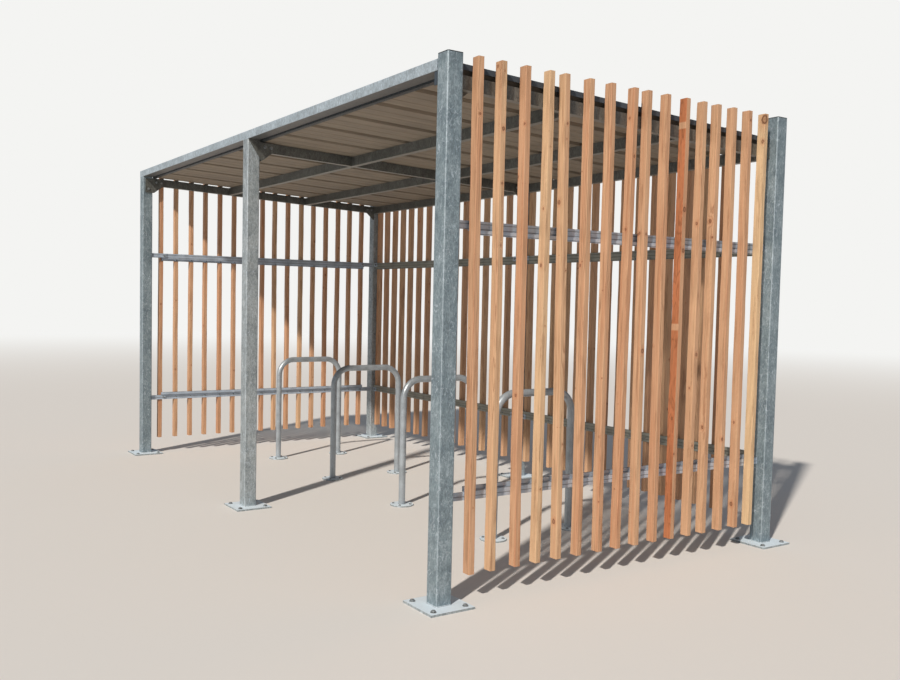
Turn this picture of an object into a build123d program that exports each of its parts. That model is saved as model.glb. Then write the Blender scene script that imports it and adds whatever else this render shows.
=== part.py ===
from build123d import *
import math
import os

# Open-fronted bicycle shelter. X runs along it, Y from the open front to the back, Z up from the
# underside of the base plates. The origin is midway between the posts. All lengths in millimetres.

# Overall, over the outer faces of the posts
LENGTH = 4460
DEPTH = 2250
HEIGHT = 2350

# Posts, their caps and base plates
POST = 80
POST_WALL = 3
POST_CORNER = 8
MID_X = 40
CAP = 4
PLATE = 225
PLATE_THICK = 10
PLATE_BOLT_SPACING = 165
PLATE_HOLE = 16

# Beam along the open front
POST_STANDS_OUT = 20
FRONT_TOP = HEIGHT - POST_STANDS_OUT
FRONT_HEIGHT = 50
FRONT_WALL = 3
FRONT_CORNER = 5
SPLICE_GAP = 2

# Sloping members that carry the roof sheets
BATTEN_THICK = 45
MEMBER_WIDTH = POST - BATTEN_THICK
MEMBER_HEIGHT = 60
MEMBER_WALL = 3
BEARING_DEPTH = 78
BEARING_FRONT = HEIGHT - BEARING_DEPTH
FALL = 0.04
PURLIN_Y = (-375, 350)

# Folded angle behind the front beam
ANGLE_STEEL = 1.5
ANGLE_FOOT = 25
ANGLE_TOP_MARGIN = 10

# Plates that join the members to the posts
KNEE_THICK = 6
KNEE_LAP = 60
KNEE_REACH = 95
KNEE_MARGIN = 5
KNEE_DROP = 60
KNEE_NOSE = 10

# Roof sheets
SHEET = 1
RIB_COUNT = 13
RIB_LEFT_MARGIN = 59
RIB_RIGHT_OVERRUN = 9
RIB_BASE = 66
RIB_CREST = 40
RIB_HEIGHT = 45
RIBS_PER_SHEET = 3
BEAD_OFFSET = 50
BEAD_BASE = 20
BEAD_CREST = 10
BEAD_HEIGHT = 3
SHEET_JOINT = 1
SHEET_FRONT_GAP = 2
SHEET_OVERHANG = -2
POST_NOTCH_GAP = 3
DRIP_EDGE = 8
FLASHING = 1.5
FLASHING_FOOT = 25
FLASHING_LIP = 25
FLASHING_LEAN = 5
FLASHING_CLEAR = 12
VERGE_GAP = 1

# Upright battens
BATTEN_WIDTH = 30
BATTEN_LOW = 125
BATTENS_PER_WALL = 16
BATTEN_END_MARGIN = 99
BATTEN_BACK_MARGIN = 32

# Folded rails behind the battens, and the tabs that hold them to the posts
RAIL_STEEL = 3
RAIL_STEP = 12
RAIL_DEEP = 40
RAIL_SHALLOW = 20
LOWER_RAIL_Z = 446
UPPER_RAIL_Z = 1602
RAIL_END_MARGIN = 84
RAIL_BACK_MARGIN = 10
TAB_THICK = 6
TAB_HEIGHT = 36
TAB_LAP = 40

# Parking hoops
HOOP_COUNT = 4
HOOP_FIRST_X = -1472
HOOP_PITCH = 965
HOOP_FRONT_Y = -205
HOOP_BACK_Y = 345
HOOP_HEIGHT = 830
HOOP_TUBE = 42
HOOP_WALL = 3
HOOP_BEND = 125
FLANGE = 150
FLANGE_THICK = 8
FLANGE_BOLT_CIRCLE = 112
FLANGE_HOLE = 12
FLANGE_BOLTS = 4

POST_X = LENGTH / 2 - POST / 2
POST_Y = DEPTH / 2 - POST / 2
INNER_X = LENGTH / 2 - POST
INNER_Y = DEPTH / 2 - POST
WALL_X = LENGTH / 2 - BATTEN_THICK
WALL_Y = DEPTH / 2 - BATTEN_THICK
HOOP_X = [HOOP_FIRST_X + number * HOOP_PITCH for number in range(HOOP_COUNT)]
FRONT_LOW = FRONT_TOP - FRONT_HEIGHT
RIB_FIRST = -WALL_X + RIB_LEFT_MARGIN
RIB_PITCH = (2 * WALL_X - RIB_LEFT_MARGIN + RIB_RIGHT_OVERRUN) / (RIB_COUNT - 1)
POST_PLACES = {
    "front_right": (POST_X, -POST_Y),
    "front_middle": (MID_X, -POST_Y),
    "front_left": (-POST_X, -POST_Y),
    "back_right": (POST_X, POST_Y),
    "back_middle": (MID_X, POST_Y),
    "back_left": (-POST_X, POST_Y),
}
POSTS_UNDER_BEAM = ("front_middle", "front_left")
# Clear bays between the back posts, as the two faces that bound each
BACK_BAYS = {
    "left": (-INNER_X, MID_X - POST / 2),
    "right": (MID_X + POST / 2, INNER_X),
}

os.makedirs("parts", exist_ok=True)


def save(part, label):
    part.label = label
    export_step(part, f"parts/{label}.step")


def bearing(y):
    """Height of the plane that the roof sheets lie on."""
    return BEARING_FRONT - FALL * (y + INNER_Y)


# Posts: square hollow section. Two of the front ones end under the front beam.
for place, (x, y) in POST_PLACES.items():
    top = FRONT_LOW if place in POSTS_UNDER_BEAM else HEIGHT - CAP
    with BuildPart() as post:
        with BuildSketch(Plane.XY.offset(PLATE_THICK)):
            with Locations((x, y)):
                RectangleRounded(POST, POST, POST_CORNER)
                RectangleRounded(
                    POST - 2 * POST_WALL,
                    POST - 2 * POST_WALL,
                    POST_CORNER - POST_WALL,
                    mode=Mode.SUBTRACT,
                )
        extrude(amount=top - PLATE_THICK)
    save(post.part, f"post_{place}")

with BuildPart() as post_caps:
    with BuildSketch(Plane.XY.offset(HEIGHT - CAP)):
        with Locations(*[at for place, at in POST_PLACES.items() if place not in POSTS_UNDER_BEAM]):
            RectangleRounded(POST, POST, POST_CORNER)
    extrude(amount=CAP)
save(post_caps.part, "post_caps")

with BuildPart() as base_plates:
    with BuildSketch():
        with Locations(*POST_PLACES.values()):
            Rectangle(PLATE, PLATE)
            with GridLocations(PLATE_BOLT_SPACING, PLATE_BOLT_SPACING, 2, 2):
                Circle(PLATE_HOLE / 2, mode=Mode.SUBTRACT)
    extrude(amount=PLATE_THICK)
save(base_plates.part, "base_plates")


# Front beam: two lengths of hollow section that meet over the middle post. The left one runs on over
# the corner post and is closed at its end, the right one stops at the taller corner post.
def front_beam(x_low, x_high, closed_end):
    with BuildPart() as beam:
        with BuildSketch(Plane.YZ.offset(x_low)):
            with Locations((-POST_Y, FRONT_TOP - FRONT_HEIGHT / 2)):
                RectangleRounded(POST, FRONT_HEIGHT, FRONT_CORNER)
        extrude(amount=x_high - x_low)
        with BuildSketch(Plane.YZ.offset(x_low + closed_end)):
            with Locations((-POST_Y, FRONT_TOP - FRONT_HEIGHT / 2)):
                RectangleRounded(
                    POST - 2 * FRONT_WALL, FRONT_HEIGHT - 2 * FRONT_WALL, FRONT_CORNER - FRONT_WALL
                )
        extrude(amount=x_high - x_low - closed_end, mode=Mode.SUBTRACT)
    return beam.part


save(front_beam(-LENGTH / 2, MID_X - SPLICE_GAP / 2, FRONT_WALL), "front_beam_left")
save(front_beam(MID_X + SPLICE_GAP / 2, INNER_X, 0), "front_beam_right")


# Members from front to back: hollow, cut upright at the posts, their top in the plane of the roof.
def rafter(x_low):
    rise = bearing(-INNER_Y)
    drop = bearing(INNER_Y)
    with BuildPart() as beam:
        with BuildSketch(Plane.YZ.offset(x_low)):
            Polygon(
                (-INNER_Y, rise),
                (-INNER_Y, rise - MEMBER_HEIGHT),
                (INNER_Y, drop - MEMBER_HEIGHT),
                (INNER_Y, drop),
                align=None,
            )
        extrude(amount=MEMBER_WIDTH)
        with BuildSketch(Plane.YZ.offset(x_low + MEMBER_WALL)):
            Polygon(
                (-INNER_Y, rise - MEMBER_WALL),
                (-INNER_Y, rise - MEMBER_HEIGHT + MEMBER_WALL),
                (INNER_Y, drop - MEMBER_HEIGHT + MEMBER_WALL),
                (INNER_Y, drop - MEMBER_WALL),
                align=None,
            )
        extrude(amount=MEMBER_WIDTH - 2 * MEMBER_WALL, mode=Mode.SUBTRACT)
    return beam.part


save(rafter(-WALL_X), "end_beam_left")
save(rafter(WALL_X - MEMBER_WIDTH), "end_beam_right")
save(rafter(MID_X - MEMBER_WIDTH / 2), "cross_beam_middle")


# Members along the shelter, with upright sides and their top in the plane of the roof.
def purlin(x_low, x_high, y):
    near = y - MEMBER_WIDTH / 2
    far = y + MEMBER_WIDTH / 2
    with BuildPart() as beam:
        with BuildSketch(Plane.YZ.offset(x_low)):
            Polygon(
                (near, bearing(near)),
                (near, bearing(near) - MEMBER_HEIGHT),
                (far, bearing(far) - MEMBER_HEIGHT),
                (far, bearing(far)),
                align=None,
            )
            near += MEMBER_WALL
            far -= MEMBER_WALL
            Polygon(
                (near, bearing(near) - MEMBER_WALL),
                (near, bearing(near) - MEMBER_HEIGHT + MEMBER_WALL),
                (far, bearing(far) - MEMBER_HEIGHT + MEMBER_WALL),
                (far, bearing(far) - MEMBER_WALL),
                align=None,
                mode=Mode.SUBTRACT,
            )
        extrude(amount=x_high - x_low)
    return beam.part


for row, y in zip(("front", "back"), PURLIN_Y):
    save(purlin(-WALL_X + MEMBER_WIDTH, MID_X - MEMBER_WIDTH / 2, y), f"purlin_{row}_left")
    save(purlin(MID_X + MEMBER_WIDTH / 2, WALL_X - MEMBER_WIDTH, y), f"purlin_{row}_right")
for side, (x_low, x_high) in BACK_BAYS.items():
    save(purlin(x_low, x_high, WALL_Y - MEMBER_WIDTH / 2), f"back_beam_{side}")

# Angle behind the front beam, in two lengths: its foot carries the front edge of the roof sheets, and
# its upright leg closes the slit between the sheets and the beam.
with BuildPart() as roof_edge_angle:
    toe = -INNER_Y + ANGLE_FOOT
    heel = -INNER_Y + ANGLE_STEEL
    for x_low, x_high in (
        (-INNER_X, MID_X - MEMBER_WIDTH / 2),
        (MID_X + MEMBER_WIDTH / 2, INNER_X),
    ):
        with BuildSketch(Plane.YZ.offset(x_low)):
            Polygon(
                (-INNER_Y, bearing(-INNER_Y) - ANGLE_STEEL),
                (toe, bearing(toe) - ANGLE_STEEL),
                (toe, bearing(toe)),
                (heel, bearing(heel)),
                (heel, FRONT_TOP - ANGLE_TOP_MARGIN),
                (-INNER_Y, FRONT_TOP - ANGLE_TOP_MARGIN),
                align=None,
            )
        extrude(amount=x_high - x_low)
save(roof_edge_angle.part, "roof_edge_angle")

# Knee plates: one beside each front-to-back member at each post, its lower edge sloping up.
# At the front corners they lap the inner face of the post, elsewhere they butt against it.
with BuildPart() as knee_brackets:
    for x_low, front_lap in (
        (INNER_X - KNEE_THICK, KNEE_LAP),
        (-INNER_X, KNEE_LAP),
        (MID_X + MEMBER_WIDTH / 2, 0),
    ):
        for end, lap in ((-1, front_lap), (1, 0)):
            post_side = end * (INNER_Y + lap)
            nose = end * (INNER_Y - KNEE_REACH)
            face = end * INNER_Y
            with BuildSketch(Plane.YZ.offset(x_low)):
                Polygon(
                    (post_side, bearing(face) - KNEE_MARGIN),
                    (post_side, bearing(face) - MEMBER_HEIGHT - KNEE_DROP),
                    (face - end * KNEE_NOSE, bearing(face) - MEMBER_HEIGHT - KNEE_DROP),
                    (nose, bearing(nose) - MEMBER_HEIGHT + KNEE_NOSE),
                    (nose, bearing(nose) - KNEE_MARGIN),
                    align=None,
                )
            extrude(amount=KNEE_THICK)
save(knee_brackets.part, "knee_brackets")

# Roof: trapezoidal sheets whose ribs run down the fall, drawn across the fall at their lower end.
SLOPE = math.atan(FALL)
SHEET_FRONT_Y = -INNER_Y + SHEET_FRONT_GAP
SHEET_BACK_Y = WALL_Y + SHEET_OVERHANG
SHEET_RUN = (SHEET_BACK_Y - SHEET_FRONT_Y) / math.cos(SLOPE)
ROOF_PLANE = Plane(
    origin=(0, SHEET_BACK_Y, bearing(SHEET_BACK_Y)),
    x_dir=(1, 0, 0),
    z_dir=(0, -math.cos(SLOPE), math.sin(SLOPE)),
)
VERGE_X = WALL_X - VERGE_GAP
SHEET_EDGE_X = VERGE_X - 2 * FLASHING


def notch_posts():
    """Cuts the open part clear of the back posts."""
    size = POST + 2 * POST_NOTCH_GAP
    with Locations(
        *[(x, y, HEIGHT) for (x, y) in POST_PLACES.values() if y > 0],
    ):
        Box(size, size, HEIGHT, mode=Mode.SUBTRACT)


def roof_sheet(first, last):
    crest = RIB_CREST / 2
    foot = RIB_BASE / 2
    line = []
    for rib in range(first, last + 1):
        centre = RIB_FIRST + rib * RIB_PITCH
        if rib == 0:
            outer = centre - foot + (foot - crest) * DRIP_EDGE / RIB_HEIGHT
            line += [(outer, DRIP_EDGE), (centre - crest, RIB_HEIGHT)]
        elif rib == first:
            line += [(centre + SHEET_JOINT / 2, RIB_HEIGHT)]
        else:
            line += [(centre - foot, 0), (centre - crest, RIB_HEIGHT)]
        if rib == RIB_COUNT - 1:
            line += [(SHEET_EDGE_X, RIB_HEIGHT)]
        elif rib == last:
            line += [(centre - SHEET_JOINT / 2, RIB_HEIGHT)]
        else:
            line += [(centre + crest, RIB_HEIGHT), (centre + foot, 0)]
            for bead in (-BEAD_OFFSET, BEAD_OFFSET):
                middle = centre + RIB_PITCH / 2 + bead
                line += [
                    (middle - BEAD_BASE / 2, 0),
                    (middle - BEAD_CREST / 2, BEAD_HEIGHT),
                    (middle + BEAD_CREST / 2, BEAD_HEIGHT),
                    (middle + BEAD_BASE / 2, 0),
                ]
    with BuildPart() as sheet:
        with BuildSketch(ROOF_PLANE):
            with BuildLine():
                Polyline(*line)
                offset(amount=SHEET, side=Side.LEFT, kind=Kind.INTERSECTION)
            make_face()
        extrude(amount=SHEET_RUN)
        notch_posts()
    return sheet.part


for number in range((RIB_COUNT - 1) // RIBS_PER_SHEET):
    first = number * RIBS_PER_SHEET
    save(roof_sheet(first, first + RIBS_PER_SHEET), f"roof_sheet_{number + 1}")


# Verge flashings: a foot on the sheet, a riser, a flat over the outer rib and a lip turned down.
def verge_flashing(side, riser_x):
    top = RIB_HEIGHT + SHEET
    edge = side * (VERGE_X - FLASHING)
    with BuildPart() as flashing:
        with BuildSketch(ROOF_PLANE):
            with BuildLine():
                Polyline(
                    (riser_x - side * FLASHING_FOOT, SHEET),
                    (riser_x, SHEET),
                    (riser_x + side * FLASHING_LEAN, top),
                    (edge, top),
                    (edge, top + FLASHING - FLASHING_LIP),
                )
                offset(
                    amount=FLASHING,
                    side=Side.LEFT if side > 0 else Side.RIGHT,
                    kind=Kind.INTERSECTION,
                )
            make_face()
        extrude(amount=SHEET_RUN)
        notch_posts()
    return flashing.part


LAST_RIB_X = RIB_FIRST + (RIB_COUNT - 1) * RIB_PITCH
save(
    verge_flashing(1, LAST_RIB_X - RIB_BASE / 2 - FLASHING_CLEAR - FLASHING_LEAN),
    "verge_flashing_right",
)
save(
    verge_flashing(-1, RIB_FIRST + RIB_BASE / 2 + FLASHING_CLEAR + FLASHING_LEAN),
    "verge_flashing_left",
)


# Battens: upright sawn sticks, equally spaced between the posts of each wall.
def batten_places(low, high, margin):
    first = low + margin
    pitch = (high - low - 2 * margin) / (BATTENS_PER_WALL - 1)
    return [first + pitch * number for number in range(BATTENS_PER_WALL)]


for side, x_low in (("left", -LENGTH / 2), ("right", WALL_X)):
    with BuildPart() as battens:
        for y in batten_places(-INNER_Y, INNER_Y, BATTEN_END_MARGIN):
            with Locations((x_low, y, BATTEN_LOW)):
                Box(
                    BATTEN_THICK,
                    BATTEN_WIDTH,
                    HEIGHT - BATTEN_LOW,
                    align=(Align.MIN, Align.CENTER, Align.MIN),
                )
    save(battens.part, f"battens_end_{side}")

for side, (low, high) in BACK_BAYS.items():
    with BuildPart() as battens:
        for x in batten_places(low, high, BATTEN_BACK_MARGIN):
            with Locations((x, WALL_Y, BATTEN_LOW)):
                Box(
                    BATTEN_WIDTH,
                    BATTEN_THICK,
                    HEIGHT - BATTEN_LOW,
                    align=(Align.CENTER, Align.MIN, Align.MIN),
                )
    save(battens.part, f"battens_back_{side}")


# Rails: a strip folded twice. One flange lies on the battens, the other stands a step inside them.
def rail_line(base_z, low_flange, high_flange):
    """Inner side of the strip as (distance in from the battens, height), bottom to top."""
    fold = base_z + low_flange
    return [
        (0, base_z),
        (0, fold),
        (RAIL_STEP, fold),
        (RAIL_STEP, fold + high_flange),
    ]


RAILS = {
    "lower": rail_line(LOWER_RAIL_Z, RAIL_DEEP, RAIL_SHALLOW),
    "upper": rail_line(UPPER_RAIL_Z, RAIL_SHALLOW, RAIL_DEEP),
}
for level, line in RAILS.items():
    for side, sign in (("left", -1), ("right", 1)):
        with BuildPart() as rail:
            with BuildSketch(Plane.XZ.offset(INNER_Y - RAIL_END_MARGIN)):
                with BuildLine():
                    Polyline(*[(sign * (WALL_X - inward), z) for inward, z in line])
                    offset(
                        amount=RAIL_STEEL,
                        side=Side.LEFT if sign > 0 else Side.RIGHT,
                        kind=Kind.INTERSECTION,
                    )
                make_face()
            extrude(amount=-2 * (INNER_Y - RAIL_END_MARGIN))
        save(rail.part, f"rail_end_{side}_{level}")
    for side, (low, high) in BACK_BAYS.items():
        with BuildPart() as rail:
            with BuildSketch(Plane.YZ.offset(low + RAIL_BACK_MARGIN)):
                with BuildLine():
                    Polyline(*[(WALL_Y - inward, z) for inward, z in line])
                    offset(amount=RAIL_STEEL, side=Side.LEFT, kind=Kind.INTERSECTION)
                make_face()
            extrude(amount=high - low - 2 * RAIL_BACK_MARGIN)
        save(rail.part, f"rail_back_{side}_{level}")

# Tabs: flats welded to the posts that lap the deep flange of each rail.
END_TAB = RAIL_END_MARGIN + TAB_LAP
BACK_TAB = RAIL_BACK_MARGIN + TAB_LAP
TABS = (
    (LOWER_RAIL_Z, RAIL_STEEL),
    (UPPER_RAIL_Z + RAIL_SHALLOW + RAIL_DEEP - TAB_HEIGHT, RAIL_STEP + RAIL_STEEL),
)
with BuildPart() as rail_tabs:
    for z, inward in TABS:
        for side in (-1, 1):
            for end in (-1, 1):
                with Locations(
                    (
                        side * (WALL_X - inward - TAB_THICK / 2),
                        end * (INNER_Y - END_TAB / 2),
                        z + TAB_HEIGHT / 2,
                    )
                ):
                    Box(TAB_THICK, END_TAB, TAB_HEIGHT)
        for low, high in BACK_BAYS.values():
            for x in (low + BACK_TAB / 2, high - BACK_TAB / 2):
                with Locations((x, WALL_Y - inward - TAB_THICK / 2, z + TAB_HEIGHT / 2)):
                    Box(BACK_TAB, TAB_THICK, TAB_HEIGHT)
save(rail_tabs.part, "rail_tabs")

# Hoops: bent tube standing on two round flanges, across the shelter.
for number, x in enumerate(HOOP_X, start=1):
    crown = HOOP_HEIGHT - HOOP_TUBE / 2
    with BuildPart() as hoop:
        with BuildLine(Plane.YZ.offset(x)) as path:
            Polyline(
                (HOOP_FRONT_Y, FLANGE_THICK),
                (HOOP_FRONT_Y, crown),
                (HOOP_BACK_Y, crown),
                (HOOP_BACK_Y, FLANGE_THICK),
            )
            fillet(path.vertices().group_by(Axis.Z)[-1], radius=HOOP_BEND)
        with BuildSketch(Plane.XY.offset(FLANGE_THICK)):
            with Locations((x, HOOP_FRONT_Y)):
                Circle(HOOP_TUBE / 2)
                Circle(HOOP_TUBE / 2 - HOOP_WALL, mode=Mode.SUBTRACT)
        sweep()
    save(hoop.part, f"hoop_{number}")

with BuildPart() as hoop_flanges:
    with BuildSketch():
        with Locations(*[(x, y) for x in HOOP_X for y in (HOOP_FRONT_Y, HOOP_BACK_Y)]):
            Circle(FLANGE / 2)
            with PolarLocations(FLANGE_BOLT_CIRCLE / 2, FLANGE_BOLTS, start_angle=45):
                Circle(FLANGE_HOLE / 2, mode=Mode.SUBTRACT)
    extrude(amount=FLANGE_THICK)
save(hoop_flanges.part, "hoop_flanges")
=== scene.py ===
import math
import random
from functools import partial

import bmesh
import bpy
from mathutils import Matrix, Vector


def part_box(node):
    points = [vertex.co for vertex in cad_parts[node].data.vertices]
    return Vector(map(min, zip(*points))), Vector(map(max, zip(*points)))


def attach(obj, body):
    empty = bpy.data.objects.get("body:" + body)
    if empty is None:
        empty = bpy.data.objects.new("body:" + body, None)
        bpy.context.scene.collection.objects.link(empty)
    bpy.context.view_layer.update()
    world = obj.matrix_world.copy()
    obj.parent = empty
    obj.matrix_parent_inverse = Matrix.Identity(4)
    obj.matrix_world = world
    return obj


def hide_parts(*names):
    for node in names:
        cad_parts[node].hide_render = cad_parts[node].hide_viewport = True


bl_info = {
    "name": "Bicycle Shelter Dressing",
    "version": (1, 0, 0),
    "blender": (4, 5, 0),
    "location": "3D View > Sidebar > Shelter",
    "description": "Dresses the bicycle shelter: battens, hoops, fasteners, welds and finishes",
    "category": "Object",
}

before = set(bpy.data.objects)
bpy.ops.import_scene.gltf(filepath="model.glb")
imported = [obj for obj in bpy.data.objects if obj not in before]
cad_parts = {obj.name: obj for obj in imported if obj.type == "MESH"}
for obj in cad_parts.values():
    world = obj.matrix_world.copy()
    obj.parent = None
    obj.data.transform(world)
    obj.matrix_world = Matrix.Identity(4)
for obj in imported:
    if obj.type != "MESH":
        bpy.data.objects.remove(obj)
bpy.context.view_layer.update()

MM = 0.001
BODY = "root"


# Sizes and colours


def linear(code):
    """Turns an sRGB hex colour into the linear red, green, blue and alpha that Blender works in."""
    levels = [int(code[i : i + 2], 16) / 255 for i in (1, 3, 5)]
    return (*(v / 12.92 if v <= 0.04045 else ((v + 0.055) / 1.055) ** 2.4 for v in levels), 1.0)


def length(label, what, size):
    return bpy.props.FloatProperty(
        name=label, description=what, default=size * MM, min=0, unit="LENGTH"
    )


def lengths(label, what, *sizes):
    return bpy.props.FloatVectorProperty(
        name=label,
        description=what,
        default=[v * MM for v in sizes],
        size=len(sizes),
        min=0,
        unit="LENGTH",
    )


def colour(label, what, code):
    return bpy.props.FloatVectorProperty(
        name=label, description=what, default=linear(code), size=4, min=0, max=1, subtype="COLOR"
    )


FASTENER_PARTS = "Washer, its thickness, across flats, head's height, stud and its end"


class ShelterSizes(bpy.types.PropertyGroup):
    """Sizes that the dressing takes."""

    batten_width: length("Batten width", "Side of a batten that lies along its wall", 30)
    batten_thickness: length("Batten thickness", "Side of a batten through its wall", 45)
    batten_arris: length("Eased arris", "Radius to which a batten's long edges are worn", 2.2)
    batten_bow: length("Bow", "How far a batten wanders off a straight line", 2.5)
    batten_wane: length("Wane", "How far a long edge dips where the saw met the bark side", 1.6)
    hoop_tube: length("Hoop tube", "Outside diameter of the parking hoops", 42)
    hoop_bend: length("Hoop bend", "Radius of the hoop's bends at the tube's centre", 125)
    weld_leg: length("Weld", "Thickness of the weld bead at a post's foot", 6)
    hoop_weld_leg: length("Hoop weld", "Thickness of the weld bead at a hoop's foot", 5)
    plate_anchor: lengths("Base plate anchor", FASTENER_PARTS, 27, 2, 18, 6.5, 12, 0.8)
    flange_anchor: lengths("Hoop flange anchor", FASTENER_PARTS, 17, 1.6, 13, 4.5, 8, 0.6)
    knee_bolt: lengths("Knee plate bolt", FASTENER_PARTS, 20, 2, 16, 6.4, 8, 0.4)
    tab_bolt: lengths("Tab bolt", FASTENER_PARTS, 16, 1.6, 13, 5.3, 8, 0.4)
    rail_screw: lengths("Rail screw", FASTENER_PARTS, 11, 1.2, 8, 3.5, 4, 0.3)
    roof_screw: lengths("Roof screw", FASTENER_PARTS, 16, 2, 8, 4.5, 4, 0.3)


class ShelterColours(bpy.types.PropertyGroup):
    """Colours that the finishes take."""

    zinc_dark: colour("Zinc, dull", "Darkest patches of the dipped zinc", "#7F898E")
    zinc_mid: colour("Zinc, grey", "Usual tone of the dipped zinc", "#9DA7AC")
    zinc_pale: colour("Zinc, light", "Lightest patches of the dipped zinc", "#B6BEC2")
    # The bloom colour is the zinc's own on the commas; on the corners it is a painted highlight,
    # and on upward faces partly painted light
    zinc_bloom: colour("Zinc, bloom", "Pale commas, corners and upward faces", "#C4D1DC")
    dull_dark: colour("End posts, dull", "Darkest patches of the duller end posts", "#6A7983")
    dull_mid: colour("End posts, grey", "Usual tone of the duller end posts", "#83939B")
    dull_pale: colour("End posts, light", "Lightest patches of the duller end posts", "#99A7AF")
    # The steel under the roof is the posts' dipped zinc painted darker: painted shade of the roof
    inner_dark: colour("Inner steel, dull", "Darkest patches under the roof", "#50524F")
    inner_mid: colour("Inner steel, grey", "Usual tone of the steel under the roof", "#60625F")
    inner_pale: colour("Inner steel, light", "Lightest patches under the roof", "#757774")
    # Painted light: undersides of the steel under the roof are painted lighter, as light thrown up
    # from the floor
    inner_under: colour("Inner steel, undersides", "Brighter undersides there", "#8E8D86")
    beam_dark: colour("Front beam, dull", "Darkest patches of the front beam", "#98A3AA")
    beam_mid: colour("Front beam, grey", "Usual tone of the front beam", "#ABB9C3")
    beam_pale: colour("Front beam, light", "Lightest patches of the front beam", "#BCC9D3")
    # Painted shade: the front beam's underside is painted dark
    beam_under: colour("Front beam, underside", "Its dirty underside", "#57534E")
    # The rails of both walls are one zinc strip: the end walls' copy is painted paler and bluer as
    # sunlight and sky reflection, the back wall's copy is painted darker as shade
    strip_zinc: colour("Rail zinc", "Smooth zinc of the end walls' rails", "#A8B5C4")
    strip_shade: colour("Rail zinc, dull", "Smooth zinc of the back wall's rails", "#85877F")
    tube_zinc: colour("Hoop zinc", "Smooth zinc of the parking hoops", "#A4ADB4")
    bolt_zinc: colour("Bolt zinc", "Plating of nuts, washers and screws", "#9BA1A4")
    # On the angle at the roof's front edge this dark colour is painted shade under the front beam
    cap: colour("Cap", "Dull caps on the posts, and the angle behind the beam", "#4A5054")
    sheet_top: colour("Roof outside", "Slate coating on the weather side", "#39434D")
    sheet_under: colour("Roof inside", "Backing coat on the underside of the roof", "#8A7F70")
    trim_under: colour("Flashing inside", "Underside of the folded flashings", "#44484D")
    larch_yellow: colour("Larch, yellow", "Palest battens", "#DEC098")
    larch_tan: colour("Larch, tan", "Usual battens", "#CBA07E")
    larch_red: colour("Larch, red", "Reddest heartwood", "#B8683B")
    larch_grain: colour("Larch grain", "Late wood lines", "#7F4C2B")
    larch_knot: colour("Knots", "Rims of the knots", "#6A4229")
    larch_stain: colour("Stains", "Brown stains along the battens", "#8F6748")
    larch_end: colour("Cut ends", "End grain", "#94755A")
    floor: colour("Floor", "Studio floor", "#E0DEDB")
    background: colour("Background", "What stands behind the shelter", "#F4F4F2")


# Nodes

MATH = "ShaderNodeMath"
VECTOR = "ShaderNodeVectorMath"
RANGE = "ShaderNodeMapRange"
RAMP = "ShaderNodeValToRGB"
NOISE = "ShaderNodeTexNoise"
CELLS = "ShaderNodeTexVoronoi"
SPLIT = "ShaderNodeSeparateXYZ"
COMBINE = "ShaderNodeCombineXYZ"
# How far apart the nodes of a tree are laid out in the editor
NODE_STEP = 180


def put(tree, kind, feeds=(), out=0, stops=(), **settings):
    """Adds one node with its settings, feeds its inputs, and returns one output, or all for None.

    Inputs are fed by name or number, or in order from the first, each with a socket, a list of
    sockets or a value. A colour ramp's stops are pairs of a place and a colour or level of grey.
    """
    node = tree.nodes.new(kind)
    node.location = (NODE_STEP * len(tree.nodes), 0)
    for name, value in settings.items():
        setattr(node, name, value)
    for place, value in feeds.items() if isinstance(feeds, dict) else enumerate(feeds):
        for item in value if isinstance(value, list) else [value]:
            if isinstance(item, bpy.types.NodeSocket):
                tree.links.new(item, node.inputs[place])
            else:
                node.inputs[place].default_value = item
    if stops:
        elements = node.color_ramp.elements
        while len(elements) < len(stops):
            elements.new(1.0)
        for element, (place, shade) in zip(elements, stops):
            element.position = place
            element.color = shade if isinstance(shade, tuple) else (shade, shade, shade, 1.0)
    return node.outputs if out is None else node.outputs[out]


# Finishes


def surface(name):
    """A new material with an empty tree, and the function that adds nodes to it."""
    material = bpy.data.materials.new(name)
    material.use_nodes = True
    material.node_tree.nodes.clear()
    return material, partial(put, material.node_tree)


def shaded(material, sockets):
    """Ends a material with its shader. A value that is the same all over is set on its socket."""
    shader = put(material.node_tree, "ShaderNodeBsdfPrincipled", sockets)
    put(material.node_tree, "ShaderNodeOutputMaterial", {"Surface": shader}, None)
    return material


def times(shade, share):
    """A colour made lighter or darker."""
    return (*(min(1.0, v * share) for v in shade[:3]), 1.0)


def layered(add, skin, *layers):
    """A skin with colours laid over it one after another, each by its share."""
    for share, shade in layers:
        mixed = {"Factor": share, "A": skin, "B": shade}
        skin = add("ShaderNodeMix", mixed, "Result", data_type="RGBA")
    return skin


def drawn(add, place, size, detail, twist=0.0):
    """Noise whose patches are drawn out to a size in millimetres on each axis."""
    scale = tuple(1 / (side * MM) for side in size)
    place = add("ShaderNodeMapping", {"Vector": place, "Scale": scale})
    return add(NOISE, {"Vector": place, "Scale": 1.0, "Detail": detail, "Distortion": twist})


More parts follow.
